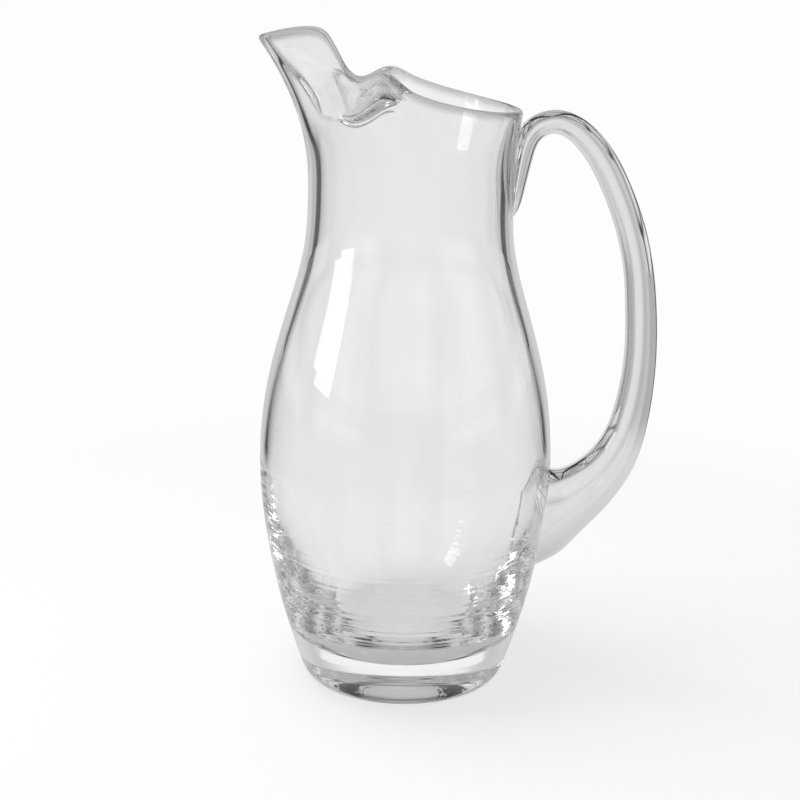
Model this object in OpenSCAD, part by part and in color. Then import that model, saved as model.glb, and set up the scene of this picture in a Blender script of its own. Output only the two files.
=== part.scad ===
// Water jug in clear glass: a heavy-based blown vessel with a pinched
// ice lip, and a pulled glass handle fused to it at the belly and the neck.
// Origin at the middle of the resting face, +Z up, handle towards +X,
// spout towards -X. All sizes in millimetres.

/* [Vessel] */
// Outer diameter at the widest part of the belly
belly_d = 120; // [108:1:136]
// Outer diameter of the foot, just above the rounded heel
heel_d = 87; // [80:1:96]
// Diameter of the flat face that the jug stands on
foot_d = 68.4; // [56:0.2:74]
// Height of the rounded heel
heel_h = 5; // [3:0.5:8]
// Outer diameter of the neck
neck_d = 80.8; // [72:0.2:90]
// Height of the neck, where the straight sides end and the lip begins
neck_h = 208; // [196:1:216]
// Outer diameter of the round part of the mouth
mouth_d = 85.2; // [80:0.2:96]
// How far the middle of the mouth leans towards the handle
mouth_lean = 1; // [0:0.1:3]

/* [Lip] */
// Height of the rim beside the handle
back_h = 236.5; // [230:0.5:248]
// Height of the rim at the crest of the spout
crest_h = 266.7; // [256:0.1:276]
// How far the spout reaches past the round mouth
beak_l = 16.9; // [10:0.1:22]
// Gap that the pinch would leave between the two sides if it met the middle
pinch_gap = 14.5; // [10:0.5:24]

/* [Walls] */
// Wall at the belly
belly_wall = 3; // [2.4:0.1:4.5]
// Wall at the neck
neck_wall = 5; // [3:0.1:6]
// Wall at the rim, which is rounded over
rim_wall = 3.2; // [2.4:0.1:4]
// Height of the inside floor, which is the thickness of the solid base
floor_h = 18; // [12:0.5:30]

/* [Handle] */
// Distance from the jug's axis to the outside of the handle
handle_reach = 101.8; // [94:0.2:116]
// Height of the underside of the lower joint
root_h = 46.5; // [38:0.5:60]
// How far the top of the loop stands above the back of the rim
handle_rise = 0.3; // [-6:0.1:8]
// Thickness of the grip, measured away from the jug
grip_t = 12.9; // [10:0.1:15]
// Width of the grip, measured across the jug
grip_w = 15.6; // [12:0.1:20]
// How deep the hot handle sank into the vessel's wall
fuse_depth = 0.3; // [0.2:0.05:0.6]

/* [Hidden] */

belly_r = belly_d / 2;
heel_r = heel_d / 2;
foot_r = foot_d / 2;
neck_r = neck_d / 2;
mouth_r = mouth_d / 2;

// The body's outline is a smooth curve pulled by nine radii on even height
// steps. The first four stand between the heel and the belly, the others
// between the neck and the belly.
low_share = [0, 0.49, 0.80, 1.01];
high_share = [1.00, 0.80, 0.41, 0, 0];
body_radii = concat(
    [for (s = low_share) heel_r + s * (belly_r - heel_r)],
    [for (s = high_share) neck_r + s * (belly_r - neck_r)]);
// Share of the body's height at which the belly is widest
belly_share = 3.5 / (len(body_radii) - 1);

// The lip, from the back of the mouth round one side to the tip of the spout:
// direction in degrees from the handle, rim height between back and crest,
// inward push of the pinch, height of the ridge where that push starts, and
// the rise over which it grows to the whole. The other side is its mirror image.
lip_share = [
    [0, 0.000, 0.00, 0.50, 0.50],
    [14, 0.005, 0.00, 0.50, 0.50],
    [28, 0.018, 0.00, 0.50, 0.50],
    [42, 0.045, 0.00, 0.50, 0.50],
    [56, 0.090, 0.00, 0.50, 0.50],
    [68, 0.145, 0.00, 0.55, 0.45],
    [79, 0.210, 0.00, 0.65, 0.35],
    [89, 0.290, 0.00, 0.80, 0.20],
    [97, 0.370, 0.03, 0.90, 0.10],
    [103, 0.475, 0.39, 0.84, 0.16],
    [108, 0.515, 0.79, 0.79, 0.22],
    [115, 0.420, 0.90, 0.75, 0.26],
    [124, 0.365, 0.83, 0.70, 0.31],
    [132, 0.650, 0.67, 0.61, 0.34],
    [141, 0.920, 0.50, 0.50, 0.32],
    [150, 0.995, 0.35, 0.48, 0.34],
    [159, 1.000, 0.21, 0.56, 0.33],
    [168, 0.957, 0.09, 0.74, 0.28],
    [175, 0.890, 0.01, 0.88, 0.12],
    [180, 0.870, 0.00, 0.90, 0.10]];
// Spread of the beak in degrees, either side of the tip
beak_spread = 17;

// The inside of the base, from the middle of the floor up to the belly:
// radius between the axis and the inner wall, height between floor and belly.
bowl_share = [
    [0.000, 0.000], [0.330, 0.000], [0.460, 0.010], [0.565, 0.048], [0.653, 0.127], [0.737, 0.240],
    [0.819, 0.376], [0.890, 0.515], [0.948, 0.666], [0.989, 0.825], [1.000, 1.000]];

// The heel, from the flat face out and up: radius between foot and heel,
// height within the heel.
heel_share = [[0, 0], [0.30, 0], [0.62, 0.10], [0.86, 0.40], [1, 1]];

// The handle, from its root on the belly up, over and down to its tail on the
// neck: place of the section's middle between the wall and the full reach,
// and between the root and the top; lean of the section in degrees; its
// thickness and width as shares of the grip's.
grip_share = [
    [-0.200, 0.120, -90, 3.72, 2.44],
    [0.020, 0.122, -90, 3.06, 2.31],
    [0.150, 0.130, -87, 2.70, 1.99],
    [0.290, 0.162, -81, 2.20, 1.69],
    [0.440, 0.192, -72, 1.91, 1.49],
    [0.605, 0.240, -60, 1.65, 1.31],
    [0.725, 0.292, -50, 1.51, 1.15],
    [0.795, 0.362, -39, 1.30, 1.08],
    [0.840, 0.430, -25, 1.11, 1.03],
    [0.860, 0.505, -11, 1.02, 1.00],
    [0.855, 0.582, -2, 0.99, 0.97],
    [0.840, 0.662, 0, 0.93, 0.96],
    [0.790, 0.743, 2, 0.94, 0.95],
    [0.700, 0.820, 10, 0.92, 0.95],
    [0.582, 0.895, 25, 0.87, 0.95],
    [0.452, 0.943, 50, 0.81, 0.95],
    [0.332, 0.969, 74, 0.77, 0.96],
    [0.225, 0.978, 89, 0.70, 1.00],
    [0.125, 0.970, 107, 0.71, 1.08],
    [0.057, 0.947, 135, 0.76, 1.18],
    [0.038, 0.917, 160, 0.70, 1.23],
    [0.024, 0.877, 173, 0.66, 1.18],
    [0.010, 0.838, 176, 0.57, 0.97],
    [0.001, 0.804, 160, 0.45, 0.64],
    [-0.026, 0.780, 125, 0.24, 0.28]];

// How finely each surface is divided
steps_round = 2;   // columns between two rows of the lip table
steps_body = 14;   // rings from heel to neck
steps_lip = 15;    // rings from neck to rim
steps_bead = 4;    // rings round the rim
steps_inside = 9;  // rings from the neck down to the belly, inside
steps_bowl = 16;   // rings from the belly down to the floor
steps_grip = 3;    // rings between two rows of the handle table
steps_section = 20; // points round the handle
steps_root = 4;    // rings across the end of the root
nudge_share = 0.001; // step for measuring a slope
pace_share = 1.0;  // wide step round, in rows of the lip table
rise_share = 0.12; // wide step up, of the height between neck and rim
blend_share = 0.12; // stretch over which the wide steps come and go

// Cubic B-spline weights: value at f between rows b and c, with neighbours a, d
function blend(a, b, c, d, f) =
    let (g = 1 - f)
    (a * g * g * g + b * (3 * f * f * f - 6 * f * f + 4)
        + c * (3 * g * g * g - 6 * g * g + 4) + d * f * f * f) / 6;
// Smooth curve pulled by the rows of a table, running out straight at its ends
function row(table, i) =
    let (n = len(table) - 1)
    i < 0 ? 2 * table[0] - table[1] : i > n ? 2 * table[n] - table[n - 1] : table[i];
function curve(table, t) =
    let (i = min(floor(t), len(table) - 2))
    blend(row(table, i - 1), row(table, i), row(table, i + 1), row(table, i + 2), t - i);
function ease(s) = let (k = min(max(s, 0), 1)) k * k * (3 - 2 * k);

// The lip table goes on mirrored at the handle and at the tip
lip_end = len(lip_share) - 1;
function flip(r, turn) = [turn - r[0], r[1], -r[2], r[3], r[4]];
function lip_row(i) =
    i < 0 ? flip(lip_share[-i], 0)
    : i > lip_end ? flip(lip_share[2 * lip_end - i], 360)
    : lip_share[i];
function lip(t) =
    let (i = min(floor(t), lip_end - 1))
    blend(lip_row(i - 1), lip_row(i), lip_row(i + 1), lip_row(i + 2), t - i);

edge_back = back_h - rim_wall / 2;
function edge_z(r) = edge_back + r[1] * (crest_h - back_h);
// Sideways lean of the axis at a height, from the belly up
belly_h = heel_h + belly_share * (neck_h - heel_h);
function lean_x(z) = mouth_lean * pow(max(0, (z - belly_h) / (edge_back - belly_h)), 2);
// The pinch: nothing below the ridge, then the whole push over the rise, so
// the lip stands upright again above the fold
function fold(s, ridge, rise) = ease((s - ridge) / rise);

function body_radius(v) = curve(body_radii, v * (len(body_radii) - 1));
function lip_radius(s) = neck_r + (mouth_r - neck_r) * s * s;

// A point of the outside on one half: t runs from the handle round to the
// tip, v from 0 at the heel to 1 at the neck and 2 at the rim
function half(t, v) =
    let (
        r = lip(t),
        s = max(v - 1, 0),
        z = v <= 1 ? heel_h + v * (neck_h - heel_h) : neck_h + s * (edge_z(r) - neck_h),
        out = (180 - r[0]) / beak_spread,
        beak = beak_l * s * s * exp(-out * out),
        wide = v <= 1 ? body_radius(v) : lip_radius(s) + beak,
        push = (mouth_r - pinch_gap / 2) * r[2] * fold(s, r[3], r[4]))
    [lean_x(z) + wide * cos(r[0]), wide * sin(r[0]) - push, z];
function mirrored(p) = [p[0], -p[1], p[2]];
function outside(t, v) =
    t < 0 ? mirrored(half(-t, v)) : t > lip_end ? mirrored(half(2 * lip_end - t, v)) : half(t, v);
function unit(p) = p / norm(p);
// Directions on the surface, measured over a pace round and a rise up
function upward(t, v, rise) = unit(outside(t, min(v + rise, 2)) - outside(t, v - rise));
function around(t, v, pace) = unit(outside(t + pace, v) - outside(t - pace, v));
function outward(t, v, pace, rise) = unit(cross(around(t, v, pace), upward(t, v, rise)));

function wall_at(v) =
    belly_wall + (neck_wall - belly_wall) * ease((v - belly_share) / (1 - belly_share))
    + (rim_wall - neck_wall) * ease(v - 1);
// Between neck and rim the wall's direction is measured over wide steps, so
// the inside of the fold is rounder than its outside
function inside(t, v) =
    let (wide = ease((2 - v) / blend_share) * ease((v - 1) / blend_share))
    outside(t, v) - wall_at(v)
        * outward(t, v, nudge_share + wide * pace_share, nudge_share + wide * rise_share);
// The rounded rim, from 0 at the outer edge to 1 at the inner edge
function bead(t, q) =
    let (n = outward(t, 2, nudge_share, nudge_share), u = upward(t, 2, nudge_share), r = rim_wall / 2)
    outside(t, 2) - r * n + r * (cos(180 * q) * n + sin(180 * q) * u);
// The inside of the base
bowl_r = body_radius(belly_share) - belly_wall;
function bowl(t, k) =
    let (b = curve(bowl_share, k * (len(bowl_share) - 1)), a = lip(t)[0])
    [b[0] * bowl_r * cos(a), b[0] * bowl_r * sin(a), floor_h + b[1] * (belly_h - floor_h)];
function heel(t, k) =
    let (
        b = curve(heel_share, k * (len(heel_share) - 1)),
        a = lip(t)[0],
        r = foot_r + b[0] * (heel_r - foot_r))
    [r * cos(a), r * sin(a), b[1] * heel_h];

half_cols = lip_end * steps_round;
// A closed ring from its points on one half
function ring(pts) = concat(pts, [for (i = [half_cols - 1:-1:1]) mirrored(pts[i])]);
cols = [for (i = [0:half_cols]) i / steps_round];
rings = concat(
    [for (k = [0:3]) ring([for (t = cols) heel(t, k / 4)])],
    [for (k = [0:steps_body]) ring([for (t = cols) outside(t, k / steps_body)])],
    [for (k = [1:steps_lip]) ring([for (t = cols) outside(t, 1 + k / steps_lip)])],
    [for (k = [1:steps_bead - 1]) ring([for (t = cols) bead(t, k / steps_bead)])],
    [for (k = [0:steps_lip]) ring([for (t = cols) inside(t, 2 - k / steps_lip)])],
    [for (k = [1:steps_inside - 1])
        ring([for (t = cols) inside(t, 1 - (1 - belly_share) * k / steps_inside)])],
    [for (k = [steps_bowl:-1:1]) ring([for (t = cols) bowl(t, k / steps_bowl)])]);

// Faces between rings of w points, and the two ends closed on single points
function flat_list(a) = [for (r = a) each r];
function skin(n, w) = [
    for (i = [0:n - 2], j = [0:w - 1])
        let (a = i * w + j, b = i * w + (j + 1) % w)
        each [[a, a + w, b], [b, a + w, b + w]]];
function caps(n, w) = concat(
    [for (j = [0:w - 1]) [n * w, j, (j + 1) % w]],
    [for (j = [0:w - 1]) [n * w + 1, (n - 1) * w + (j + 1) % w, (n - 1) * w + j]]);
module surface_of(rs, first, last) {
    n = len(rs);
    w = len(rs[0]);
    polyhedron(
        points = concat(flat_list(rs), [first, last]),
        faces = concat(skin(n, w), caps(n, w)),
        convexity = 10);
}

// The vessel: base, body, neck, lip and pinched spout are one gather of glass
module vessel() {
    color([0.85, 0.93, 0.95, 0.35])
        surface_of(rings, [0, 0, 0], [0, 0, floor_h]);
}

// Outer face of the vessel on the handle's side
function wall_radius(z) =
    let (s = (z - neck_h) / (edge_back - neck_h))
    z <= neck_h ? body_radius(max((z - heel_h) / (neck_h - heel_h), 0)) : lip_radius(min(s, 1));
function wall_x(y, z) =
    let (r = wall_radius(z))
    lean_x(min(z, edge_back)) + sqrt(max(r * r - y * y, 0));

handle_top = back_h + handle_rise;
grip_h = handle_top - root_h;
// The handle's table in real sizes
grip_rows = [
    for (g = grip_share)
        let (z = root_h + g[1] * grip_h, x0 = wall_x(0, z))
        [x0 + g[0] * (handle_reach - x0), z, g[2], g[3] * grip_t / 2, g[4] * grip_w / 2]];
// A point pressed no deeper than the fusing depth into the wall
function pressed(p) = [max(p[0], wall_x(p[1], p[2]) - fuse_depth), p[1], p[2]];
// A point of the handle's surface: t along it, a round it, k share of its size
function grip(t, a, k = 1) =
    let (g = curve(grip_rows, t), c = cos(a))
    pressed([g[0] + k * g[3] * c * cos(g[2]), k * g[4] * sin(a), g[1] + k * g[3] * c * sin(g[2])]);
grip_end = len(grip_rows) - 1;
turns = [for (j = [0:steps_section - 1]) 360 * j / steps_section];
grip_rings = concat(
    [for (k = [1:steps_root - 1]) [for (a = turns) grip(0, a, k / steps_root)]],
    [for (i = [0:grip_end * steps_grip]) [for (a = turns) grip(i / steps_grip, a)]]);

// The handle: one pulled bit of solid glass
module handle() {
    color([0.80, 0.90, 0.93, 0.45])
        surface_of(grip_rings, grip(0, 0, 0), grip(grip_end, 0, 0));
}

vessel();
handle();
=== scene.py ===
# %% [markdown]
# # A clear glass water jug
# The jug has two pieces of glass: a vessel that was blown, and a handle that
# was pulled from hot glass and fused on. Their solids are already packed at
# real size, so this lesson gives them a finer surface and the look of glass.
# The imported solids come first, as the fixed frame that all else is set to.

import math

import bpy
import numpy as np
from mathutils import Matrix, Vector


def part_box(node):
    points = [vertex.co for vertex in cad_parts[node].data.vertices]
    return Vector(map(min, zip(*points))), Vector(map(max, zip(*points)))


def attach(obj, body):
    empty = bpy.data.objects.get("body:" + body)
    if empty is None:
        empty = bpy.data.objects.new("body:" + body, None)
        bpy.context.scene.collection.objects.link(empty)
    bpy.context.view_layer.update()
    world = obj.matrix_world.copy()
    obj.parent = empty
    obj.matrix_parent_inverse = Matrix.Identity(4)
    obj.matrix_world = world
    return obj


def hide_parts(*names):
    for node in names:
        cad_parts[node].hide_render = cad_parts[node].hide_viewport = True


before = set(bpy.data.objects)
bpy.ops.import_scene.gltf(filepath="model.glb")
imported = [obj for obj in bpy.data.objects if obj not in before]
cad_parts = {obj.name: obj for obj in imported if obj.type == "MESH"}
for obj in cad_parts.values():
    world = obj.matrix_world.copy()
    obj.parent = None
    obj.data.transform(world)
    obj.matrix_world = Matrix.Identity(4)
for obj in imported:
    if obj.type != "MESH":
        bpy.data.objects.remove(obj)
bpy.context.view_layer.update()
MM = 0.001
for name in sorted(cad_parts):
    low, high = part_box(name)
    print(name, "from", [round(x / MM, 1) for x in low], "to", [round(x / MM, 1) for x in high])

# %% [markdown]
# ## Sizes
# The glassmaker's sizes, in millimetres, are the same as those of the solids.
# A surface of glass is seen through as well as seen, so a flat facet would
# bend all that shows behind it. Subdividing the solids would round them, but
# shrink them too. So the visible surfaces are worked out again here, on a grid
# many times finer than that of the solids.

# %% Sizes of the vessel
# Radii from the axis, heights from the table, and walls along the normal. The
# curves only pull towards the belly's radius and the crest's height, and stay a
# few hundredths of a millimetre short of them.
belly_r = 59.98
heel_r = 43.5
foot_r = 34.2
heel_h = 5.0
neck_r = 40.4
neck_h = 208.0
mouth_r = 42.6
mouth_lean = 1.0
back_h = 236.5
crest_h = 266.58
beak_l = 16.9
pinch_gap = 14.5
belly_wall = 3.0
neck_wall = 5.0
rim_wall = 3.2
floor_h = 18.0
print("the radii of belly, neck and mouth are", belly_r, neck_r, "and", mouth_r, "mm")

# %% Sizes of the handle
# How far it reaches from the axis, from what height to how far over the back of
# the rim it goes, how thick and wide its grip is, and how deep it is fused.
handle_reach = 101.79
root_h = 46.5
top_over_rim = 0.3
handle_top = back_h + top_over_rim
grip_t = 12.9
grip_w = 15.6
fuse_depth = 0.3
print("the grip is", grip_t, "mm thick and", grip_w, "mm wide")

# %% [markdown]
# ## A smooth curve along a few rows
# Glass has no corners, so every outline here is a cubic B-spline: each point
# of it is a weighted mean of four neighbouring rows of a short table. It pulls
# softly towards the rows and never kinks. A curve object could be drawn as
# smoothly, but a function gives the points of a whole surface at once.

# %% Smooth curves
def curve(rows, t, before=None, after=None):
    """The B-spline of a table: at t = i + f, row i - 1 weighs (1 - f) cubed, row i + 2 weighs f
    cubed, the two between share the rest, and all is divided by six. Past its ends the table goes
    on straight, or with the rows given."""
    rows = np.asarray(rows, float)
    before = 2 * rows[0] - rows[1] if before is None else before
    after = 2 * rows[-1] - rows[-2] if after is None else after
    longer = np.concatenate([[before], rows, [after]])
    i = np.clip(np.floor(t).astype(int), 0, len(rows) - 2)
    f = t - i
    g = 1 - f
    weights = (g**3, 3 * f**3 - 6 * f**2 + 4, 3 * g**3 - 6 * g**2 + 4, f**3)
    shape = f.shape + (1,) * (rows.ndim - 1)
    return sum(w.reshape(shape) * longer[i + k] for k, w in enumerate(weights)) / 6


def ease(s):
    """From 0 to 1 with a soft start and end: three s squared minus two s cubed."""
    s = np.clip(s, 0, 1)
    return s * s * (3 - 2 * s)


print("ease at a quarter of the way:", ease(0.25))

# %% [markdown]
# ## The vessel's outside
# The body is round, so one radius for each height says all of it: heavy at the
# belly, drawn in at the neck. Spinning an outline would make that much, but the
# lip was bent while hot. There the outline is read from a table that goes round
# from the handle to the tip of the spout: the rim rises to a crest, two tools
# press the sides in behind the spout to keep ice back, and the beak runs out at
# the tip.

# %% Outline of the body
# Shares of the way from heel to belly, then of the way from neck to belly, at
# even heights. The belly's height is half way between the two groups.
low_shares = np.array([0, 0.49, 0.80, 1.01])
high_shares = np.array([1.00, 0.80, 0.41, 0, 0])
body_radii = np.concatenate([
    heel_r + low_shares * (belly_r - heel_r), neck_r + high_shares * (belly_r - neck_r)])
belly_share = (len(low_shares) - 0.5) / (len(body_radii) - 1)
belly_h = heel_h + belly_share * (neck_h - heel_h)
edge_back = back_h - rim_wall / 2


def body_radius(v):
    """Radius at the share v of the height from heel to neck."""
    return curve(body_radii, np.clip(v, 0, 1) * (len(body_radii) - 1))


def lip_radius(s):
    """Radius of the round part of the lip: it opens from neck to mouth with the square of s."""
    return neck_r + (mouth_r - neck_r) * s * s


def lean_x(z):
    """How far the axis leans to the handle: it grows with the square of the height over the
    belly."""
    return mouth_lean * np.maximum(0, (z - belly_h) / (edge_back - belly_h)) ** 2


widest = float(body_radius(np.array(belly_share)))
print("the belly is widest at", round(belly_h, 1), "mm, with radius", round(widest, 2))

# %% Table of the lip
# Columns: direction in degrees from the handle, height of the rim between its
# back and its crest, inward push, where up the lip the push starts, and over
# how much of the lip's height it grows to the whole. The push is greatest at
# the pinch. The rim dips there, climbs to its crest and falls a little to the
# tip of the spout.
lip_rows = np.array([
    [0, 0.000, 0.00, 0.50, 0.50],
    [14, 0.005, 0.00, 0.50, 0.50],
    [28, 0.018, 0.00, 0.50, 0.50],
    [42, 0.045, 0.00, 0.50, 0.50],
    [56, 0.090, 0.00, 0.50, 0.50],
    [68, 0.145, 0.00, 0.55, 0.45],
    [79, 0.210, 0.00, 0.65, 0.35],
    [89, 0.290, 0.00, 0.80, 0.20],
    [97, 0.370, 0.03, 0.90, 0.10],
    [103, 0.475, 0.39, 0.84, 0.16],
    [108, 0.515, 0.79, 0.79, 0.22],
    [115, 0.420, 0.90, 0.75, 0.26],
    [124, 0.365, 0.83, 0.70, 0.31],
    [132, 0.650, 0.67, 0.61, 0.34],
    [141, 0.920, 0.50, 0.50, 0.32],
    [150, 0.995, 0.35, 0.48, 0.34],
    [159, 1.000, 0.21, 0.56, 0.33],
    [168, 0.957, 0.09, 0.74, 0.28],
    [175, 0.890, 0.01, 0.88, 0.12],
    [180, 0.870, 0.00, 0.90, 0.10]])
beak_spread = 17.0
lip_end = len(lip_rows) - 1
turned_over = np.array([-1, 1, -1, 1, 1])
full_turn = np.array([360, 0, 0, 0, 0])


def lip(t):
    """The table's curve. Its ends go on as mirror images, so the two halves meet smoothly."""
    first = lip_rows[1] * turned_over
    last = lip_rows[-2] * turned_over + full_turn
    return curve(lip_rows, t, first, last)


def fold(s, ridge, rise):
    """Share of the inward push at height s: none below the ridge, and then ease up to the whole
    of it over the rise, so the lip stands upright again above the fold."""
    return ease((s - ridge) / rise)


print("the lip's table has", len(lip_rows), "rows from handle to spout")

# %% Points of the outside
def half(t, v):
    """One side of the outside. A point stands at its direction's angle, body radius (or lip radius
    plus beak) from the leaning axis, and the pinch then pushes it towards the middle plane. t goes
    from the handle to the spout, v is 0 at the heel, 1 at the neck and 2 at the rim."""
    degrees, lift, push, ridge, rise = np.moveaxis(lip(t), -1, 0)
    s = np.maximum(v - 1, 0)
    edge = edge_back + lift * (crest_h - back_h)
    z = np.where(v <= 1, heel_h + v * (neck_h - heel_h), neck_h + s * (edge - neck_h))
    beak = beak_l * s * s * np.exp(-(((180 - degrees) / beak_spread) ** 2))
    radius = np.where(v <= 1, body_radius(v), lip_radius(s) + beak)
    pinch = (mouth_r - pinch_gap / 2) * push * fold(s, ridge, rise)
    turn = np.radians(degrees)
    return np.stack([lean_x(z) + radius * np.cos(turn), radius * np.sin(turn) - pinch, z], -1)


def mirror_y(points):
    """The same points on the other side of the plane of symmetry."""
    return points * np.array([1, -1, 1])


def outside(t, v):
    """The whole outside: beyond the handle's and the spout's line, half(t, v) is mirrored."""
    t, v = np.broadcast_arrays(np.asarray(t, float), np.asarray(v, float))
    folded = np.where(t < 0, -t, np.where(t > lip_end, 2 * lip_end - t, t))
    other = (t < 0) | (t > lip_end)
    points = half(folded, v)
    return np.where(other[..., None], mirror_y(points), points)


print("the tip of the spout is at", outside(lip_end, 2).round(1), "mm")

# %% [markdown]
# ## The wall
# The inside is the outside moved in along its normal, by a wall that is thin
# at the belly, where the bubble was widest, and thick at the neck. A Solidify
# modifier makes a wall too, but an even one. The normal is the cross product of
# two small steps over the surface. The rim was melted round in the flame, so a
# half circle joins outside and inside there.

# %% Normals and the inside
# The step is a small share of a row. In the lip, the inside's normal is taken
# over wider ones round and up, which come in softly over the blend.
step = 0.001
wide_round = 1.0
wide_up = 0.12
blend = 0.12


def unit(vectors):
    """The same directions with length one."""
    return vectors / np.linalg.norm(vectors, axis=-1, keepdims=True)


def upward(t, v, rise=step):
    """Direction of the surface towards the rim."""
    return unit(outside(t, np.minimum(v + rise, 2)) - outside(t, v - rise))


def outward(t, v, pace=step, rise=step):
    """Normal of the outside: the way round crossed with the way up."""
    around = unit(outside(t + pace, v) - outside(t - pace, v))
    return unit(np.cross(around, upward(t, v, rise)))


def wall_at(v):
    """Wall thickness: from belly to neck it grows, and to the rim it falls, each along ease."""
    to_neck = ease((v - belly_share) / (1 - belly_share))
    return belly_wall + (neck_wall - belly_wall) * to_neck + (rim_wall - neck_wall) * ease(v - 1)


def inside(t, v):
    """The inner surface: the outside less the wall along the normal, which is measured over wider
    steps away from the rim, so the glass is rounder inside a fold than outside it."""
    t, v = np.broadcast_arrays(np.asarray(t, float), np.asarray(v, float))
    wide = ease((2 - v) / blend) * ease((v - 1) / blend)
    normal = outward(t, v, step + wide_round * wide, step + wide_up * wide)
    return outside(t, v) - wall_at(v)[..., None] * normal


def bead(t, q):
    """The fire-polished rim: a half circle of the rim's wall, from its outer edge to its inner."""
    t, q = np.broadcast_arrays(np.asarray(t, float), np.asarray(q, float))
    edge = np.full_like(t, 2.0)
    normal, up, r = outward(t, edge), upward(t, edge), rim_wall / 2
    turn = (math.pi * q)[..., None]
    return outside(t, edge) - r * normal + r * (np.cos(turn) * normal + np.sin(turn) * up)


print("wall at belly, neck and rim:", [float(wall_at(v).round(2)) for v in (belly_share, 1, 2)], "mm")

# %% [markdown]
# ## The heavy base
# A blown jug keeps a thick disc of glass at its foot. Below the belly the
# inside therefore leaves the outside and curves in to a flat floor, and the
# outside turns under in a rounded heel to the flat face that the jug stands on.
# The tools that shaped the base left faint rings inside it. They are a few
# hundredths of a millimetre deep, and yet the thick glass shows them as lines.
# A bump in the material could draw them, but a shape that shows belongs in the
# mesh.

# %% Inner bowl and heel
# Columns of both tables: share of the way out, and share of the way up.
bowl_rows = np.array([
    [0.000, 0.000], [0.330, 0.000], [0.460, 0.010], [0.565, 0.048], [0.653, 0.127], [0.737, 0.240],
    [0.819, 0.376], [0.890, 0.515], [0.948, 0.666], [0.989, 0.825], [1.000, 1.000]])
bowl_r = widest - belly_wall
heel_rows = np.array([[0, 0], [0.30, 0], [0.62, 0.10], [0.86, 0.40], [1, 1]])
# The rings in millimetres: their depth, the spacing of two waves and the share
# of the second, the height over which they come in above the floor, the height
# where they end, and the height over which they fade below it.
ring_depth = 0.025
ring_pitch = 2.3
second_pitch = 3.7
second_share = 0.8
ring_start = 6
ring_top = 80
ring_fade = 30


def round_about(t, radius, z):
    """A circle of that radius at that height, with its points in the lip's directions."""
    turn = np.radians(lip(t)[..., 0])
    return np.stack([radius * np.cos(turn), radius * np.sin(turn), z + 0 * turn], -1)


def tooling(z):
    """Faint rings that the shaping left inside the base: two waves up the wall, whose sum comes and
    goes, under a hump that fades at both ends."""
    hump = ease((z - floor_h) / ring_start) * ease((ring_top - z) / ring_fade)
    second = second_share * np.sin(z * 2 * math.pi / second_pitch)
    return ring_depth * hump * (np.sin(z * 2 * math.pi / ring_pitch) + second)


def bowl(t, k):
    """The inside of the base: its outline's radius and height, spun about the axis, with the
    tooling rings pushed along the radius."""
    t, k = np.broadcast_arrays(np.asarray(t, float), np.asarray(k, float))
    across, up = np.moveaxis(curve(bowl_rows, k * (len(bowl_rows) - 1)), -1, 0)
    z = floor_h + up * (belly_h - floor_h)
    radius = across * bowl_r
    return round_about(t, radius + tooling(z), z)


def heel(t, k):
    """The rounded heel: its outline spun about the axis."""
    t, k = np.broadcast_arrays(np.asarray(t, float), np.asarray(k, float))
    across, up = np.moveaxis(curve(heel_rows, k * (len(heel_rows) - 1)), -1, 0)
    return round_about(t, foot_r + across * (heel_r - foot_r), up * heel_h)


print("inner radius of the belly", round(bowl_r, 2), "mm, solid base", floor_h, "mm")

# %% [markdown]
# ## From rings to a closed mesh
# Each surface above gives rings of points. Laid one after another, from the
# flat face up the outside, over the rim and down the inside, they are one grid.
# Two single points close its ends, so the glass is a solid with no open edge,
# which a renderer needs to follow light through it.

# %% Mesh from a grid of rings
def closed_mesh(name, rings, first, last, painted_rim_shades=None):
    """One object from a grid (ring, column, xyz) in millimetres: quads between the rings, and a
    fan of triangles from each end ring to its point. Each point keeps its share of the rim's
    painted shade, or none, as an attribute that the glass reads."""
    count, width = rings.shape[:2]
    points = np.concatenate([rings.reshape(-1, 3), [first, last]]) * MM
    i = np.arange(count - 1)[:, None] * width
    j = np.arange(width)
    k = (j + 1) % width
    quads = np.stack([i + j, i + k, i + k + width, i + j + width], -1).reshape(-1, 4)
    top = (count - 1) * width
    under = np.stack([k, j, np.full(width, count * width)], -1)
    over = np.stack([top + j, top + k, np.full(width, count * width + 1)], -1)
    corners = np.concatenate([quads.ravel(), under.ravel(), over.ravel()])
    sizes = np.concatenate([np.full(len(quads), 4), np.full(2 * width, 3)])
    mesh = bpy.data.meshes.new(name)
    mesh.vertices.add(len(points))
    mesh.vertices.foreach_set("co", points.ravel())
    mesh.loops.add(len(corners))
    mesh.loops.foreach_set("vertex_index", corners)
    mesh.polygons.add(len(sizes))
    mesh.polygons.foreach_set("loop_start", np.cumsum(sizes) - sizes)
    mesh.update(calc_edges=True)
    mesh.shade_smooth()
    # The attribute holds painted shade: each point's share of the grey painted at the rim.
    shares = np.zeros((count, width)) if painted_rim_shades is None else painted_rim_shades
    edge = mesh.attributes.new("painted_rim_shade", "FLOAT", "POINT")
    edge.data.foreach_set("value", np.append(shares, [0, 0]))
    piece = bpy.data.objects.new(name, mesh)
    bpy.context.scene.collection.objects.link(piece)
    triangles = int((sizes - 2).sum())
    print(name, "has", len(points), "points and", triangles, "triangles")
    return piece


# %% [markdown]
# ## The blown vessel
# The whole vessel is one grid. Half of its columns are worked out, and the
# rest are their mirror image. The rim was melted again in the flame and is
# seen edge on, through much more glass than the wall, so it looks greyer.
# That grey is painted shade, painted into the glass's colour. A material of
# its own would end in a hard border, so each point gets a share of the
# painted grey instead, which fades out below the rim.

# %% Rings of the vessel
# Columns for each row of the lip's table, where the bowl's last ring stops
# short of the middle, and how many millimetres down the rim's painted shade reaches.
columns_per_row = 5
columns = np.linspace(0, lip_end, lip_end * columns_per_row + 1)
pole_gap = 0.02
painted_rim_shade_reach = 4.5


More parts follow.
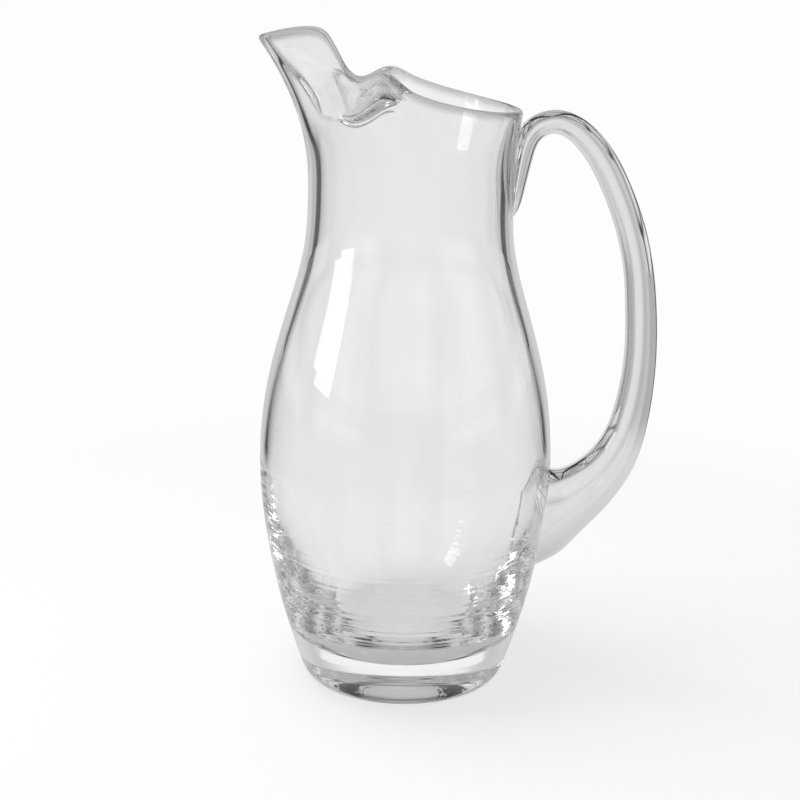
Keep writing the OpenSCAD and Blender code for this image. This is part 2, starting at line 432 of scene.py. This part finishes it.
def whole_rings(points):
    """Rings from rows of points on one half: the other half is their mirror image, read back."""
    return np.concatenate([points, mirror_y(points[:, -2:0:-1])], 1)


def rows_of(surface, start, end, count):
    """A surface on a grid: count rings from start up to, not including, end, with a point in
    every column."""
    across = np.linspace(start, end, count, endpoint=False)[:, None]
    return surface(columns[None, :], across)


# Each stretch: surface, where it starts and ends, and its number of rings.
outer_stretches = [(heel, 0, 1, 14), (outside, 0, 1, 110), (outside, 1, 2, 90)]
inner_stretches = [
    (bead, 0, 1, 14), (inside, 2, 1, 90), (inside, 1, belly_share, 50), (bowl, 1, pole_gap, 130)]
stretches = outer_stretches + inner_stretches
outer_rings = sum(stretch[-1] for stretch in outer_stretches)
vessel_rings = whole_rings(np.concatenate([rows_of(*stretch) for stretch in stretches]))
print("the vessel's grid has", vessel_rings.shape[0], "rings of", vessel_rings.shape[1], "points")

# %% The vessel's mesh
rim_tops = vessel_rings[..., 2].max(0)
# Painted shade: a share of the rim's painted grey, whole at the top of the rim and eased to none a few
# millimetres below it.
painted_rim_shades = ease(1 - (rim_tops - vessel_rings[..., 2]) / painted_rim_shade_reach)
vessel = closed_mesh("blown_vessel", vessel_rings, [0, 0, 0], [0, 0, floor_h], painted_rim_shades)
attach(vessel, "root")
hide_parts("vessel")

# %% [markdown]
# ## The pulled handle
# The handle began as a gob of hot glass pressed on the belly. It was pulled up
# and out, so it thins on the way, looped over and pressed on the neck, where
# it ends in a folded tail. A curve object with a bevel could make a plain round
# loop. Here an oval is carried along the path, so that it can lean with the
# path, change its thickness and width on the way, and stop at the wall.

# %% Path and sections of the handle
# Columns: place between wall and full reach, height between root and top,
# lean in degrees, thickness and width as shares of the grip's.
handle_rows = np.array([
    [-0.200, 0.120, -90, 3.72, 2.44],
    [0.020, 0.122, -90, 3.06, 2.31],
    [0.150, 0.130, -87, 2.70, 1.99],
    [0.290, 0.162, -81, 2.20, 1.69],
    [0.440, 0.192, -72, 1.91, 1.49],
    [0.605, 0.240, -60, 1.65, 1.31],
    [0.725, 0.292, -50, 1.51, 1.15],
    [0.795, 0.362, -39, 1.30, 1.08],
    [0.840, 0.430, -25, 1.11, 1.03],
    [0.860, 0.505, -11, 1.02, 1.00],
    [0.855, 0.582, -2, 0.99, 0.97],
    [0.840, 0.662, 0, 0.93, 0.96],
    [0.790, 0.743, 2, 0.94, 0.95],
    [0.700, 0.820, 10, 0.92, 0.95],
    [0.582, 0.895, 25, 0.87, 0.95],
    [0.452, 0.943, 50, 0.81, 0.95],
    [0.332, 0.969, 74, 0.77, 0.96],
    [0.225, 0.978, 89, 0.70, 1.00],
    [0.125, 0.970, 107, 0.71, 1.08],
    [0.057, 0.947, 135, 0.76, 1.18],
    [0.038, 0.917, 160, 0.70, 1.23],
    [0.024, 0.877, 173, 0.66, 1.18],
    [0.010, 0.838, 176, 0.57, 0.97],
    [0.001, 0.804, 160, 0.45, 0.64],
    [-0.026, 0.780, 125, 0.24, 0.28]])


def wall_x(y, z):
    """Outer face of the vessel on the handle's side: the leaning axis plus the root of radius
    squared less y squared."""
    lip_r = lip_radius(np.clip((z - neck_h) / (edge_back - neck_h), 0, 1))
    radius = np.where(z <= neck_h, body_radius((z - heel_h) / (neck_h - heel_h)), lip_r)
    return lean_x(np.minimum(z, edge_back)) + np.sqrt(np.maximum(radius**2 - y**2, 0))


path_z = root_h + handle_rows[:, 1] * (handle_top - root_h)
path_wall = wall_x(0, path_z)
path_rows = np.stack([
    path_wall + handle_rows[:, 0] * (handle_reach - path_wall),
    path_z,
    handle_rows[:, 2],
    handle_rows[:, 3] * grip_t / 2,
    handle_rows[:, 4] * grip_w / 2], -1)
path_end = len(path_rows) - 1
print("the path starts at height", path_z[0].round(1), "mm and ends at", path_z[-1].round(1), "mm")

# %% The handle's surface
# Points round the oval, rings for each row of the table, rings in the root's
# end, and the angle in degrees from which an edge stays sharp.
turns_count = 72
rings_per_row = 12
root_rings = 12
fold_angle = 40


def grip(t, turn, share=1.0):
    """The handle's surface: from the path's point, thickness times cosine along the lean and width
    times sine across, pressed no deeper into the vessel's wall than the fusing depth."""
    t, turn = np.broadcast_arrays(np.asarray(t, float), np.asarray(turn, float))
    x, z, lean, thick, wide = np.moveaxis(curve(path_rows, t), -1, 0)
    out = share * thick * np.cos(turn)
    y = share * wide * np.sin(turn)
    z = z + out * np.sin(np.radians(lean))
    x = np.maximum(x + out * np.cos(np.radians(lean)), wall_x(y, z) - fuse_depth)
    return np.stack([x, y, z], -1)


turns = np.linspace(0, 2 * math.pi, turns_count, endpoint=False)[None, :]
along = np.linspace(0, path_end, path_end * rings_per_row + 1)[:, None]
root_shares = np.linspace(0, 1, root_rings, endpoint=False)[1:, None]
root_disc = grip(np.zeros_like(root_shares), turns, root_shares)
handle_rings = np.concatenate([root_disc, grip(along, turns)])[:, ::-1]
root_middle = grip(0, 0, 0)
tail_middle = grip(path_end, 0, 0)
handle = closed_mesh("pulled_handle", handle_rings, root_middle, tail_middle)
handle.data.set_sharp_from_angle(angle=math.radians(fold_angle))
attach(handle, "root")
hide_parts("handle")

# %% [markdown]
# ## Glass
# Jug glass is soda-lime or lead-free crystal: colourless, index about 1.52.
# Its surface came from the fire, so it is mirror-smooth, but breath and
# turning left long faint waves that run up the wall. The eye sees a clear body
# whose edges are drawn in dark and light lines, and a bright streak for a lamp.
# A volume that takes in light would be nearer to real glass, but it is slow,
# and for so faint a tint the surface does as well.

# %% Colours and nodes
def linear(hex_colour):
    """An sRGB hex colour as the linear red, green and blue that shaders take."""
    parts = [int(hex_colour[i : i + 2], 16) / 255 for i in (1, 3, 5)]
    light = [c / 12.92 if c <= 0.04045 else ((c + 0.055) / 1.055) ** 2.4 for c in parts]
    return (*light, 1.0)


def add_node(tree, kind, settings=None, links=None):
    """Adds one node, with its settings and with links into its inputs."""
    node = tree.nodes.new(kind)
    for key, value in (settings or {}).items():
        if isinstance(key, int) or key in node.inputs:
            node.inputs[key].default_value = value
        else:
            setattr(node, key, value)
    for key, socket in (links or {}).items():
        tree.links.new(socket, node.inputs[key])
    return node


def new_material(name):
    """A material with an empty node tree, the tree, and its output node."""
    material = bpy.data.materials.new(name)
    material.use_nodes = True
    tree = material.node_tree
    tree.nodes.clear()
    return material, tree, add_node(tree, "ShaderNodeOutputMaterial")


print("a written grey of #808080 is", round(linear("#808080")[0], 3), "of white in light")

# %% Blown and pulled glass
glass_ior = 1.52
# The grey painted into the rim's glass as painted shade.
rim_painted_shade_grey = "#BCBCBC"


def clear_glass(name, tint, thin_tint, wave_mm, wave_length_mm, depth_mm):
    """Clear glass with long shallow waves and a tint that varies a little from place to place,
    turned towards a painted grey at the rim, which is painted shade. The waves' scale is one over
    their size, so the noise is stretched up the wall."""
    material, tree, output = new_material(name)
    place = add_node(tree, "ShaderNodeTexCoord")
    stretch = [1 / (wave_mm * MM), 1 / (wave_mm * MM), 1 / (wave_length_mm * MM)]
    mapped = add_node(
        tree, "ShaderNodeMapping", {"Scale": stretch}, {"Vector": place.outputs["Object"]})
    waves = add_node(
        tree, "ShaderNodeTexNoise",
        {"Scale": 1.0, "Detail": 1.0, "Roughness": 0.4}, {"Vector": mapped.outputs["Vector"]})
    bump = add_node(
        tree, "ShaderNodeBump",
        {"Strength": 1.0, "Distance": depth_mm * MM}, {"Height": waves.outputs["Fac"]})
    wall = add_node(
        tree, "ShaderNodeMix", {"data_type": "RGBA", 6: linear(tint), 7: linear(thin_tint)},
        {0: waves.outputs["Fac"]})
    # Painted shade: the glass's colour is mixed towards the rim's painted grey by each point's share.
    edge = add_node(tree, "ShaderNodeAttribute", {"attribute_name": "painted_rim_shade"})
    colour = add_node(
        tree, "ShaderNodeMix", {"data_type": "RGBA", 7: linear(rim_painted_shade_grey)},
        {0: edge.outputs["Fac"], 6: wall.outputs[2]})
    shader = add_node(
        tree, "ShaderNodeBsdfPrincipled",
        {"IOR": glass_ior, "Roughness": 0.0, "Transmission Weight": 1.0},
        {"Base Color": colour.outputs[2], "Normal": bump.outputs["Normal"]})
    tree.links.new(shader.outputs["BSDF"], output.inputs["Surface"])
    return material


# The tint works at each surface that light passes. The handle has only two of
# them and several times the glass between, so its tint is the deeper one. It
# was pulled out of a small bit of glass, so its waves are finer and shorter.
blown_glass = clear_glass(
    "blown_soda_lime_glass", tint="#F5F5F5", thin_tint="#FCFCFC",
    wave_mm=9.0, wave_length_mm=60.0, depth_mm=0.02)
pulled_glass = clear_glass(
    "pulled_soda_lime_glass", tint="#E1E1E1", thin_tint="#E9E9E9",
    wave_mm=7.0, wave_length_mm=30.0, depth_mm=0.02)
vessel.data.materials.append(blown_glass)
handle.data.materials.append(pulled_glass)
print("index of refraction", glass_ior, "for", blown_glass.name, "and", pulled_glass.name)

# %% [markdown]
# ## Where the two are fused
# The hot handle melted into the wall, so no surface is left between the two
# bits of glass, and light goes straight through the joint. A Boolean could make
# them one mesh, but they are two pieces, and each has to stay closed. So the
# faces that lie inside the other glass get a second material, which lets
# everything through. A face is taken when all its corners are held.

# %% How far a point lies inside the handle
# The slab's half thickness is in millimetres. A point counts as held when it
# is a little way in, so that no hole opens at the edge of the joint.
slab = 2.0
held_from = 0.02
samples_per_row = 25


def held_by_handle(points):
    """How far points lie inside the handle: one less the squares of their shares of its thickness,
    its width and a thin slab across its path, where that is most."""
    t = np.linspace(0, path_end, path_end * samples_per_row + 1)
    x, z, lean, thick, wide = curve(path_rows, t).T
    lean = np.radians(lean)
    beyond = points[:, :1] - x
    over = points[:, 2:] - z
    out = beyond * np.cos(lean) + over * np.sin(lean)
    past = over * np.cos(lean) - beyond * np.sin(lean)
    shares = (out / thick) ** 2 + (points[:, 1:2] / wide) ** 2 + (past / slab) ** 2
    return 1 - shares.min(1)


def quad_corners(grid):
    """The four corners of each quad of a grid, first in the array."""
    beside = np.roll(grid, -1, 1)
    return np.stack([grid[:-1], beside[:-1], beside[1:], grid[1:]])


middle_of_grip = curve(path_rows, np.array([path_end / 2]))[:, :2]
held_middle = held_by_handle(np.insert(middle_of_grip, 1, 0, axis=1))
print("a point in the middle of the grip is held by", held_middle.round(2))

# %% The vessel's fused faces
# Only points of the outside, no farther to the side than the handle is wide,
# can be held.
half_width = path_rows[:, 4].max()
near_handle = (vessel_rings[..., 0] > 0) & (np.abs(vessel_rings[..., 1]) < half_width)
near_handle[outer_rings:] = False
held = np.zeros(near_handle.shape, bool)
held[near_handle] = held_by_handle(vessel_rings[near_handle]) > held_from
vessel_faces = quad_corners(held).all(0)
patches = quad_corners(vessel_rings)[:, vessel_faces][..., 1:]
low_corner, high_corner = patches.min(0), patches.max(0)
print("fused patches reach from", low_corner.min(0).round(1), "to", high_corner.max(0).round(1), "mm")

# %% The handle's fused faces
def over_patches(points):
    """True for points that lie over one of the vessel's fused faces, seen along the x axis."""
    places = points[..., None, 1:]
    return ((places >= low_corner) & (places <= high_corner)).all(-1).any(-1)


depth_in_wall = wall_x(handle_rings[..., 1], handle_rings[..., 2]) - handle_rings[..., 0]
sunk = quad_corners(depth_in_wall > fuse_depth / 2).all(0)
handle_faces = sunk & over_patches(quad_corners(handle_rings).mean(0))
print("the handle has", int(sunk.sum()), "faces in the wall")

# %% The fused joint's material
def use_second(piece, faces, ends):
    """The second material on the given quads, and on the fans at both ends where asked."""
    index = np.concatenate([faces.ravel(), np.repeat(ends, faces.shape[1])])
    piece.data.polygons.foreach_set("material_index", index.astype(np.int32))
    print(piece.name, "has", int(index.sum()), "fused faces")


joined, joined_tree, joined_output = new_material("fused_glass_joint")
nothing = add_node(joined_tree, "ShaderNodeBsdfTransparent")
joined_tree.links.new(nothing.outputs["BSDF"], joined_output.inputs["Surface"])
vessel.data.materials.append(joined)
handle.data.materials.append(joined)
use_second(vessel, vessel_faces, [False, False])
use_second(handle, handle_faces, [over_patches(root_middle), over_patches(tail_middle)])

# %% [markdown]
# ## The studio
# Clear glass is drawn by what stands round it. White and black cards could
# stand there, as they do in a studio, but a field of greys that is written by
# direction is quicker to set and hides nothing. White behind makes the jug
# bright, and darker strips to the sides give its edges their dark lines. Light
# that goes straight through sees a field that is pale all round, so the jug
# stays clear from any side. Light that was thrown back inside the wall sees the
# contrasty field, and draws the rim, the base and the wall. The camera itself
# sees plain white.

# %% Greys of the studio
# Degrees from straight behind the jug and the grey there. The two ends come
# first, because a new ramp already has two stops.
half_turn = 180
white = linear("#FDFDFD")
clear_field = [(0, "#FDFDFD"), (180, "#DCDCDC"), (15, "#FAFAFA"), (38, "#CCCCCC"), (56, "#DADADA")]
# Thrown light that leaves low: the dark strip near 40 draws the neck's line.
low_field = [
    (0, "#FDFDFD"), (180, "#A0A0A0"), (14, "#FDFDFD"), (31, "#D4D4D4"), (38, "#343434"),
    (44, "#343434"), (50, "#E0E0E0"), (74, "#E8E8E8"), (94, "#747474"), (112, "#F4F4F4"),
    (134, "#F4F4F4"), (154, "#747474")]
# Higher up, the dark strip near 25 draws the black ends in the heel.
high_field = [
    (0, "#C4C4C4"), (180, "#F0F0F0"), (17, "#BCBCBC"), (20, "#404040"), (31, "#343434"),
    (35, "#C8C8C8"), (41, "#E8E8E8"), (48, "#A8A8A8"), (53, "#9C9C9C"), (61, "#E4E4E4"),
    (80, "#848484"), (98, "#C8C8C8"), (120, "#F8F8F8"), (148, "#808080"), (164, "#F0F0F0")]
# The far part of the table has the same strip, for the line at the neck.
table_field = [
    (0, "#D8D8D8"), (180, "#A8A8A8"), (36, "#CCCCCC"), (42, "#242424"), (49, "#242424"),
    (55, "#B0B0B0")]
# Sine of the angle up from level, and the grey that all is multiplied by. The
# dark bands lie level, so the rings inside the base show as level lines.
level_bands = [
    (0, "#FFFFFF"), (1, "#C8C8C8"), (0.05, "#FFFFFF"), (0.10, "#808080"), (0.15, "#FFFFFF"),
    (0.35, "#FFFFFF"), (0.41, "#8C8C8C"), (0.47, "#FFFFFF"), (0.61, "#FFFFFF"),
    (0.67, "#8C8C8C"), (0.73, "#FFFFFF")]
# Overhead, straight light sees a grey ceiling. It comes in between two sines of
# the angle up, as the high field does over the low one.
ceiling = linear("#D0D0D0")
ceiling_from, ceiling_to = 0.34, 0.90
high_from, high_to = 0.10, 0.34
# What matt surfaces get from all round.
matt_light = linear("#A4A4A4")
print("fields of", len(clear_field), len(low_field), len(high_field), "and", len(table_field), "greys")

# %% Straight light
def spread_greys(ramp, whole, stops):
    """Puts a field's greys on a ramp, each at its share of the whole range, eased between."""
    ramp.color_ramp.interpolation = "EASE"
    marks = ramp.color_ramp.elements
    for i, (place, grey) in enumerate(stops):
        mark = marks[i] if i < 2 else marks.new(place / whole)
        mark.position = place / whole
        mark.color = linear(grey)


def straight_light(tree, up, share):
    """What light sees that went straight through: the clear field, and the ceiling overhead."""
    clear = add_node(tree, "ShaderNodeValToRGB", None, {"Fac": share})
    spread_greys(clear, half_turn, clear_field)
    over = add_node(
        tree, "ShaderNodeMapRange",
        {"interpolation_type": "SMOOTHSTEP", "From Min": ceiling_from, "From Max": ceiling_to},
        {"Value": up})
    return add_node(
        tree, "ShaderNodeMix", {"data_type": "RGBA", 7: ceiling},
        {0: over.outputs[0], 6: clear.outputs["Color"]}).outputs[2]


# %% Thrown light
# Hand-made glass breaks up what it shows, so noise swings the borders of the
# high field to either side. There are 26 lumps to a radian, so the coarsest are
# about two degrees wide. The swing is a share of half a turn, to and fro.
lumps = 26
swing = 0.15
print("borders swing by", round(half_turn * swing / 2, 1), "degrees at most")


def thrown_light(tree, vector, up, share):
    """What light sees in the air that was thrown back: the low field turns to the high one with
    height, the high one's borders are swung by noise, and level bands darken both."""
    low_greys = add_node(tree, "ShaderNodeValToRGB", None, {"Fac": share})
    spread_greys(low_greys, half_turn, low_field)
    noise = add_node(tree, "ShaderNodeTexNoise", {"Scale": lumps, "Detail": 3}, {"Vector": vector})
    aside = add_node(
        tree, "ShaderNodeMath", {"operation": "MULTIPLY_ADD", 1: swing, 2: -swing / 2},
        {0: noise.outputs["Fac"]})
    ragged = add_node(
        tree, "ShaderNodeMath", {"operation": "ADD"}, {0: share, 1: aside.outputs[0]})
    high_greys = add_node(tree, "ShaderNodeValToRGB", None, {"Fac": ragged.outputs[0]})
    spread_greys(high_greys, half_turn, high_field)
    rise = add_node(
        tree, "ShaderNodeMapRange",
        {"interpolation_type": "SMOOTHSTEP", "From Min": high_from, "From Max": high_to},
        {"Value": up})
    both = add_node(
        tree, "ShaderNodeMix", {"data_type": "RGBA"},
        {0: rise.outputs[0], 6: low_greys.outputs["Color"], 7: high_greys.outputs["Color"]})
    bands = add_node(tree, "ShaderNodeValToRGB", None, {"Fac": up})
    spread_greys(bands, 1, level_bands)
    return add_node(
        tree, "ShaderNodeMix", {"data_type": "RGBA", "blend_type": "MULTIPLY", 0: 1.0},
        {6: both.outputs[2], 7: bands.outputs["Color"]}).outputs[2]


def thrown_back(tree, rays):
    """One for light that was reflected inside the glass on its way, and nought for the rest."""
    return add_node(
        tree, "ShaderNodeMath", {"operation": "GREATER_THAN", 1: 0.5},
        {0: rays.outputs["Glossy Depth"]}).outputs[0]


# %% Light from round about
def field_round(tree, vector, table=False):
    """How bright the studio looks along a vector: white for the camera, one grey for matt
    surfaces, and for glass the straight or the thrown field. The angle from straight behind is
    the arc tangent of x over y, as a share of half a turn. The table has its own thrown field."""
    parts = add_node(tree, "ShaderNodeSeparateXYZ", None, {0: vector})
    turn = add_node(
        tree, "ShaderNodeMath", {"operation": "ARCTAN2"},
        {0: parts.outputs["X"], 1: parts.outputs["Y"]})
    away = add_node(tree, "ShaderNodeMath", {"operation": "ABSOLUTE"}, {0: turn.outputs[0]})
    share = add_node(
        tree, "ShaderNodeMath", {"operation": "DIVIDE", 1: math.pi},
        {0: away.outputs[0]}).outputs[0]
    up = parts.outputs["Z"]
    straight = straight_light(tree, up, share)
    if table:
        table_greys = add_node(tree, "ShaderNodeValToRGB", None, {"Fac": share})
        spread_greys(table_greys, half_turn, table_field)
        thrown = table_greys.outputs["Color"]
    else:
        thrown = thrown_light(tree, vector, up, share)
    rays = add_node(tree, "ShaderNodeLightPath")
    glass = add_node(
        tree, "ShaderNodeMix", {"data_type": "RGBA"},
        {0: thrown_back(tree, rays), 6: straight, 7: thrown})
    shade = add_node(
        tree, "ShaderNodeMix", {"data_type": "RGBA", 7: matt_light},
        {0: rays.outputs["Is Diffuse Ray"], 6: glass.outputs[2]})
    return add_node(
        tree, "ShaderNodeMix", {"data_type": "RGBA", 7: white},
        {0: rays.outputs["Is Camera Ray"], 6: shade.outputs[2]}).outputs[2]


# %% The air
world = bpy.data.worlds.new("studio")
world.use_nodes = True
bpy.context.scene.world = world
air = world.node_tree
air.nodes.clear()
way = add_node(air, "ShaderNodeTexCoord")
air_glow = add_node(
    air, "ShaderNodeBackground", {"Strength": 1.0},
    {"Color": field_round(air, way.outputs["Generated"])})
add_node(air, "ShaderNodeOutputWorld", None, {"Surface": air_glow.outputs[0]})
print("the air has", len(air.nodes), "nodes")

# %% [markdown]
# ## The table
# The jug stands on matt white paper. Stronger lamps could turn it white, but
# they would burn out the glass as well. So most of what the paper shows is a
# glow of its own, and the matt rest takes the jug's shadow. Light that was
# thrown back in the glass sees the paper greyer, which gives the root of the
# handle and the base their edges. Farther out the paper turns into the field.

# %% The floor
# In metres: half the floor's side, how far it lies under the jug, and from
# where to where it turns into the field. Then the share of glow in the paper.
reach = 3.0
drop = 0.0004
near_reach, far_reach = 0.26, 0.40
glow_share = 0.74
paper_grey = linear("#CCCCCC")
floor_mesh = bpy.data.meshes.new("floor")
floor_mesh.from_pydata(
    [(-reach, -reach, -drop), (reach, -reach, -drop), (reach, reach, -drop), (-reach, reach, -drop)],
    [], [(0, 1, 2, 3)])
floor = bpy.data.objects.new("floor", floor_mesh)
bpy.context.scene.collection.objects.link(floor)
print("the floor is", 2 * reach, "m wide and", round(drop / MM, 1), "mm under the jug")

# %% Matt white paper
paper, tree, output = new_material("matt_white_paper")
place = add_node(tree, "ShaderNodeTexCoord")
distance = add_node(
    tree, "ShaderNodeVectorMath", {"operation": "LENGTH"}, {0: place.outputs["Object"]})
far = add_node(
    tree, "ShaderNodeMapRange",
    {"interpolation_type": "SMOOTHSTEP", "From Min": near_reach, "From Max": far_reach},
    {"Value": distance.outputs["Value"]})
far_glow = add_node(
    tree, "ShaderNodeEmission", None,
    {"Color": field_round(tree, place.outputs["Object"], table=True)})
matt = add_node(tree, "ShaderNodeBsdfDiffuse", {"Color": linear("#F4F4F4")})
rays = add_node(tree, "ShaderNodeLightPath")
paper_light = add_node(
    tree, "ShaderNodeMix", {"data_type": "RGBA", 6: white, 7: paper_grey},
    {0: thrown_back(tree, rays)})
near_glow = add_node(tree, "ShaderNodeEmission", None, {"Color": paper_light.outputs[2]})
near = add_node(
    tree, "ShaderNodeMixShader", {0: glow_share}, {1: matt.outputs[0], 2: near_glow.outputs[0]})
both = add_node(
    tree, "ShaderNodeMixShader", None,
    {0: far.outputs[0], 1: near.outputs[0], 2: far_glow.outputs[0]})
tree.links.new(both.outputs[0], output.inputs["Surface"])
floor_mesh.materials.append(paper)
print("the paper has", len(tree.nodes), "nodes")

# %% [markdown]
# ## Lamps
# A softbox at the left draws the long bright streak on the belly. A broad soft
# light from above gives the jug its shadow on the table, and is hidden from
# the glass, which would show it as a second streak.

# %% Softboxes
def softbox(name, azimuth, distance, height, tilt, width, tall, radiance):
    """A flat lamp that faces the jug's axis from an azimuth in degrees, where 0 is behind the
    camera and positive goes to the right. Tilt turns it down towards the table. Places and sizes
    are in metres, and its power is radiance times area times pi."""
    turn = math.radians(azimuth)
    lamp = bpy.data.lights.new(name, "AREA")
    lamp.shape = "RECTANGLE"
    lamp.size = width
    lamp.size_y = tall
    lamp.energy = radiance * width * tall * math.pi
    box = bpy.data.objects.new(name, lamp)
    bpy.context.scene.collection.objects.link(box)
    box.visible_camera = False
    box.matrix_world = (
        Matrix.Translation((distance * math.sin(turn), -distance * math.cos(turn), height))
        @ Matrix.Rotation(turn, 4, "Z")
        @ Matrix.Rotation(math.radians(90 - tilt), 4, "X"))
    print(name, "gives", round(lamp.energy, 2), "W")
    return box


softbox(
    "softbox_left", azimuth=-74, distance=0.50, height=0.290, tilt=0,
    width=0.16, tall=0.18, radiance=4.5)
above = softbox(
    "softbox_above", azimuth=-95, distance=0.30, height=1.10, tilt=75,
    width=0.60, tall=0.60, radiance=8.2)
above.visible_glossy = False
above.visible_transmission = False

# %% [markdown]
# ## Camera
# The photograph was taken from close by, a little above the jug. Light is
# thrown to and fro in the base dozens of times before it leaves, and where the
# renderer gives up too early the glass turns black. So it may go on for long.

# %% Camera
# Lens and sensor in millimetres, place in metres, tip and roll in degrees.
lens_mm = 67.14
sensor_mm = 36.0
camera_place = (-0.00249, -0.5859, 0.2940)
camera_tip = 73.32
camera_roll = 0.81
bounces = 64
lens = bpy.data.cameras.new("camera")
lens.sensor_width = sensor_mm
lens.lens = lens_mm
camera = bpy.data.objects.new("camera", lens)
bpy.context.scene.collection.objects.link(camera)
camera.matrix_world = (
    Matrix.Translation(camera_place)
    @ Matrix.Rotation(math.radians(camera_tip), 4, "X")
    @ Matrix.Rotation(math.radians(camera_roll), 4, "Z"))
scene = bpy.context.scene
scene.camera = camera
scene.view_settings.view_transform = "Standard"
scene.cycles.max_bounces = bounces
scene.cycles.transmission_bounces = bounces
scene.cycles.glossy_bounces = bounces
scene.cycles.transparent_max_bounces = bounces
print("camera at", camera_place, "with a lens of", lens_mm, "mm")
